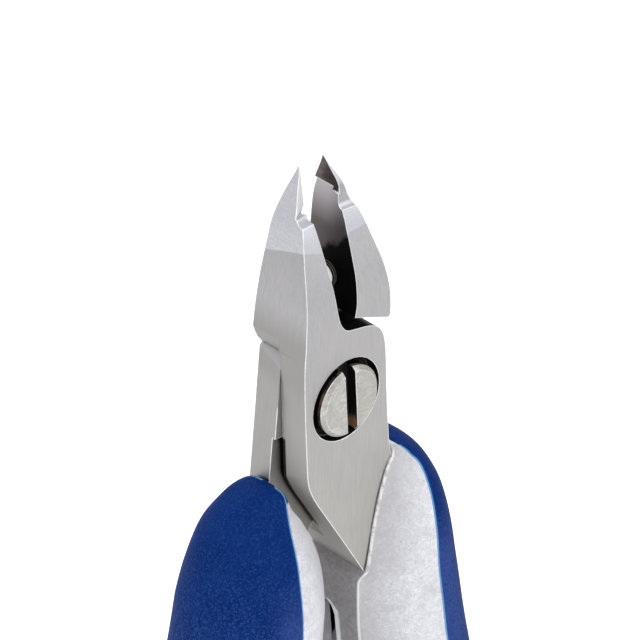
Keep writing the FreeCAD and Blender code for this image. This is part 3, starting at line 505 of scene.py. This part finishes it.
LEFT_TOP = [(-8.05, 5.24, 5.27, 6.2, 0.8), (-8.15, 5.25, 5.30, 7.05, 1.7), (-8.4, 5.27, 5.52, 7.9, 2.42),
            (-9.0, 5.28, 5.92, 8.8, 3.12), (-10.3, 4.60, 6.28, 10.0, 4.0), (-12.64, 3.15, 6.52, 11.2, 5.28),
            (-15.4, 1.85, 6.53, 12.0, 6.10), (-17.9, 1.15, 6.56, 12.4, 6.68), (-19.5, 0.85, 6.62, 12.6, 6.93),
            (-20.15, 0.75, 6.64, 12.68, 7.0), (-22.0, 0.70, 6.76, 12.85, 7.05), (-24.0, 0.66, 6.92, 13.05, 7.1),
            (-28.0, 0.90, 7.47, 13.65, 7.15), (-34.0, 1.95, 8.44, 14.70, 7.25), (-42.0, 3.60, 10.05, 16.35, 7.35)]
CREASE = 3.5


def pchip(x, y, q):
    """Monotone cubic through (x, y), x rising."""
    h = np.diff(x)
    d = np.diff(y) / h
    s = np.zeros(len(x))
    for i in range(1, len(x) - 1):
        if d[i - 1] * d[i] > 0:
            w1, w2 = 2 * h[i] + h[i - 1], h[i] + 2 * h[i - 1]
            s[i] = (w1 + w2) / (w1 / d[i - 1] + w2 / d[i])
    s[0], s[-1] = d[0], d[-1]
    i = np.clip(np.searchsorted(x, q) - 1, 0, len(x) - 2)
    t = (q - x[i]) / h[i]
    return ((2 * t ** 3 - 3 * t ** 2 + 1) * y[i] + (t ** 3 - 2 * t ** 2 + t) * h[i] * s[i]
            + (-2 * t ** 3 + 3 * t ** 2) * y[i + 1] + (t ** 3 - t ** 2) * h[i] * s[i + 1])


def grip_rows(side):
    rows = []
    for i, (z, xr, xl, xb, xo, b) in enumerate(GRIP):
        xi = xr if side > 0 else xl
        xb, xo = xb + 0.15 * side, xo + 0.25 * side * min(1.0, max(0.0, (-14.0 - z) / 10.0))
        if side < 0 and i < len(LEFT_TOP):
            z, xi, xb, xo, b = LEFT_TOP[i]
        x0 = max(xi, {-20.15: 1.55, -22.0: 1.1}.get(z, 0.0) * max(side, 0)) if z > -23.0 else min(xi, 0.8)
        rows.append((z, xi, xb, xo, b, x0))
    a = np.array(rows)[::-1]
    z = a[:, 0]
    zs = np.concatenate([(z[-1] + (-9.2 - z[-1]) * np.linspace(0, 1, 22) ** 1.8)[:-1], np.linspace(-9.2, -24.0, 60)[:-1],
                         np.linspace(-24.0, -100.0, 90)[:-1], np.linspace(-100.0, z[0], 36)])
    zs = np.clip(zs, z[0], z[-1])
    cols = [pchip(z, a[:, k], zs) for k in range(1, 6)]
    return zs, cols


def shell_loop(xi, xb, xo, b, x0):
    f = 0.16
    n = 56
    pts, rim = [], []
    for i in range(n + 1):
        t = -math.pi / 2 + math.pi * i / n
        pts.append((xb + (xo - xb) * math.cos(t), b * math.sin(t)))
        rim.append(0.0)
    front = [(xb - 0.02, -b + 0.55), (xb, -b + f), (xb + 0.05, -b + 0.05)]
    pts = front + pts[2:-2] + [(x, -y) for x, y in reversed(front)]
    d = [abs(abs(y) - b) + max(0.0, x - xb) for x, y in pts]
    return pts, d, [0.0] * len(pts), [0.0] * len(pts)


def pad_loop(xi, xb, xo, b, x0):
    k = min(CREASE, 0.85 * b)
    top = []
    for t in (1.0, 0.985, 0.96, 0.92, 0.86, 0.80, 0.73, 0.66, 0.59, 0.52, 0.45, 0.385, 0.325, 0.27, 0.22, 0.175, 0.135, 0.10, 0.07, 0.045, 0.02):
        x = xi + (xb - xi) * t
        rise = max(0.0, 1 - max(0.0, x - x0) / max(xb - x0, 0.05))
        y = k + (b - k) * (1 - rise ** 1.9)
        if t == 1.0:
            y -= 0.10
        elif t == 0.985:
            y -= 0.015
        top.append((x, y))
    top.append((xi + 0.012, k - 0.03))
    inner = [(xi, k - 0.10), (xi, k - 0.3), (xi, k * 0.66), (xi, k * 0.33), (xi, 0.0)]
    half = top + inner
    pts = half + [(x, -y) for x, y in reversed(half[:-1])]
    nt = len(top)
    ins = [0.0] * nt + [0.6, 1.0, 1.0, 1.0, 1.0]
    ins = ins + list(reversed(ins[:-1]))
    cr = [math.hypot(x - xi, 0) for x, y in top] + [0.0] * 5
    cr = cr + list(reversed(cr[:-1]))
    return pts, [0.0] * len(pts), cr, ins


def rot_y(p, deg):
    a = math.radians(deg)
    x, y, z = p
    return (x * math.cos(a) + z * math.sin(a), y, -x * math.sin(a) + z * math.cos(a))


def loft(name, side, maker):
    zs, cols = grip_rows(side)
    verts, rims, creases, inners = [], [], [], []
    count = None
    turn = -3.7 * side
    loops = []
    for i, z in enumerate(zs):
        pts, rim, crease, inner = maker(*[c[i] for c in cols])
        count = len(pts)
        loops.append((z, pts, rim, crease, inner))
    # rounded ends: one shrunk loop beyond the first and the last
    z, pts, rim, crease, inner = loops[0]
    cx, cy = sum(p[0] for p in pts) / count, sum(p[1] for p in pts) / count
    loops.insert(0, (z + 0.035, [(cx + (x - cx) * 0.6, cy + (y - cy) * 0.6) for x, y in pts], [9.0] * count, [9.0] * count, inner))
    z, pts, rim, crease, inner = loops[-1]
    cx, cy = sum(p[0] for p in pts) / count, sum(p[1] for p in pts) / count
    loops.append((z - 0.12, [(cx + (x - cx) * 0.6, cy + (y - cy) * 0.6) for x, y in pts], [9.0] * count, [9.0] * count, inner))
    for z, pts, rim, crease, inner in loops:
        verts += [tuple(c * MM for c in rot_y((side * x, y + MID, z), turn)) for x, y in pts]
        rims += rim
        creases += crease
        inners += inner
    faces = []
    for r in range(len(loops) - 1):
        for c in range(count):
            d = (c + 1) % count
            q = (r * count + c, r * count + d, (r + 1) * count + d, (r + 1) * count + c)
            faces.append(q if side < 0 else tuple(reversed(q)))
    faces.append(tuple(range(count)) if side > 0 else tuple(reversed(range(count))))
    last = (len(loops) - 1) * count
    faces.append(tuple(last + i for i in range(count)) if side < 0 else tuple(last + i for i in reversed(range(count))))
    me = bpy.data.meshes.new(name)
    me.from_pydata(verts, [], faces)
    for key, vals in (("rim", rims), ("crease", creases), ("inner", inners)):
        at = me.attributes.new(key, "FLOAT", "POINT")
        at.data.foreach_set("value", np.array(vals, np.float32))
    me.update()
    ob = bpy.data.objects.new(name, me)
    scene.collection.objects.link(ob)
    return ob


def fix_normals(ob):
    import bmesh
    bm = bmesh.new()
    bm.from_mesh(ob.data)
    bmesh.ops.recalc_face_normals(bm, faces=bm.faces)
    bm.to_mesh(ob.data)
    bm.free()


def prism(name, outline, y0, y1):
    """Closed prism along X from an outline in (y, z)."""
    n = len(outline)
    v = [(y0, a + MID, b) for a, b in outline] + [(y1, a + MID, b) for a, b in outline]
    f = [tuple(range(n)), tuple(reversed(range(n, 2 * n)))]
    f += [(i, n + i, n + (i + 1) % n, (i + 1) % n) for i in range(n)]
    me = bpy.data.meshes.new(name)
    me.from_pydata([tuple(c * MM for c in p) for p in v], [], f)
    ob = bpy.data.objects.new(name, me)
    scene.collection.objects.link(ob)
    fix_normals(ob)
    return ob


def cut(ob, cutter):
    md = ob.modifiers.new("cut", "BOOLEAN")
    md.operation = "DIFFERENCE"
    md.solver = "EXACT"
    md.object = cutter
    bpy.context.view_layer.update()
    dg = bpy.context.evaluated_depsgraph_get()
    me = bpy.data.meshes.new_from_object(ob.evaluated_get(dg))
    ob.modifiers.clear()
    ob.data = me
    bpy.data.objects.remove(cutter)


SPRING_MID, SPRING_W = 0.9, 1.3
blue, white = blue_shell(), white_pad()
for side, tag, body in ((1, "right", "front_half"), (-1, "left", "rear_half")):
    for maker, part, mat, slot in ((shell_loop, "grip_shell", blue, "blue_shell"), (pad_loop, "grip_pad", white, "white_pad")):
        ob = loft(tag + "_" + part + "_skin", side, maker)
        fix_normals(ob)
        if part == "grip_pad":
            m, w = SPRING_MID, SPRING_W
            out = [(m - w, -25.4), (m - w * 0.7, -24.5), (m - 0.35, -24.1), (m + 0.35, -24.1), (m + w * 0.7, -24.5), (m + w, -25.4),
                   (m + w, -46.0), (m + 0.6, -47.5), (m - 0.6, -47.5), (m - w, -46.0)]
            knife = prism("knife", out, 0.0, 6.2 * side)
            for v in knife.data.vertices:
                v.co = rot_y(v.co, -3.7 * side)
            knife.data.update()
            cut(ob, knife)
        ob.data.materials.clear()
        ob.data.materials.append(mat)
        ob.data.polygons.foreach_set("use_smooth", [True] * len(ob.data.polygons))
        ob.data.set_sharp_from_angle(angle=math.radians(38))
        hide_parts(tag + "_" + part)
        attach(ob, body)

# ------------------------------------------------------------------ floor, light, camera
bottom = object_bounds()[0].z
me = bpy.data.meshes.new("floor")
s = 3.0
me.from_pydata([(-s, -s, bottom), (s, -s, bottom), (s, s, bottom), (-s, s, bottom)], [], [(0, 1, 2, 3)])
floor = bpy.data.objects.new("floor", me)
scene.collection.objects.link(floor)
fm = Mat("floor_pale")
fm.done(fm.mix(fm.noise(0.02, 2.0, 0.5), (0.93, 0.93, 0.93), (0.95, 0.95, 0.95)), 0.9, 0.0, Specular_IOR_Level=0.1)
floor_seen = fm.nt.nodes.new("ShaderNodeLightPath")
fm.p.inputs["Emission Color"].default_value = (1, 1, 1, 1)
fm.nt.links.new(fm.mul(floor_seen.outputs["Is Camera Ray"], 0.45), fm.p.inputs["Emission Strength"])
me.materials.append(fm.m)

world = bpy.data.worlds.new("studio")
scene.world = world
world.use_nodes = True
nt = world.node_tree
nt.nodes.clear()
out = nt.nodes.new("ShaderNodeOutputWorld")
bg_cam = nt.nodes.new("ShaderNodeBackground")
bg_cam.inputs["Color"].default_value = (1, 1, 1, 1)
bg_cam.inputs["Strength"].default_value = 1.05
bg = nt.nodes.new("ShaderNodeBackground")
bg.inputs["Color"].default_value = (0.97, 0.98, 1.0, 1)
bg.inputs["Strength"].default_value = 0.74
lp = nt.nodes.new("ShaderNodeLightPath")
mx = nt.nodes.new("ShaderNodeMixShader")
nt.links.new(lp.outputs["Is Camera Ray"], mx.inputs[0])
nt.links.new(bg.outputs[0], mx.inputs[1])
nt.links.new(bg_cam.outputs[0], mx.inputs[2])
nt.links.new(mx.outputs[0], out.inputs[0])


def area(name, loc, target, size, power, color=(1, 1, 1)):
    d = bpy.data.lights.new(name, "AREA")
    d.shape = "RECTANGLE"
    d.size, d.size_y = size
    d.energy = power
    d.color = color
    o = bpy.data.objects.new(name, d)
    scene.collection.objects.link(o)
    o.location = loc
    o.rotation_mode = "QUATERNION"
    o.rotation_quaternion = (Vector(target) - Vector(loc)).to_track_quat("-Z", "Y")
    return o


area("key", (-0.55, -0.25, 0.62), (0, 0, -0.02), (0.5, 0.5), 2.2, (1.0, 0.99, 0.98))
area("fill", (0.45, -0.60, 0.40), (0, 0, -0.03), (0.6, 0.6), 1.3, (0.98, 0.99, 1.0))
area("back", (0.2, 0.7, 0.6), (0, 0, -0.02), (0.7, 0.5), 1.8)

cam = bpy.data.cameras.new("camera")
cam_ob = bpy.data.objects.new("camera", cam)
scene.collection.objects.link(cam_ob)
R = ((0.71698, -0.69657, 0.02713), (0.35266, 0.39601, 0.84783), (-0.60131, -0.59831, 0.52958))
right, up, back = (Vector(v).normalized() for v in R)
cam_ob.matrix_world = Matrix((
    (right.x, up.x, back.x, -0.22986), (right.y, up.y, back.y, -0.22848 + MID * MM), (right.z, up.z, back.z, 0.20881), (0, 0, 0, 1)))
cam.sensor_width = 36.0
cam.lens = 252.2
cam.clip_start, cam.clip_end = 0.01, 20.0
scene.camera = cam_ob

scene.view_settings.view_transform = "Standard"
scene.view_settings.look = "None"
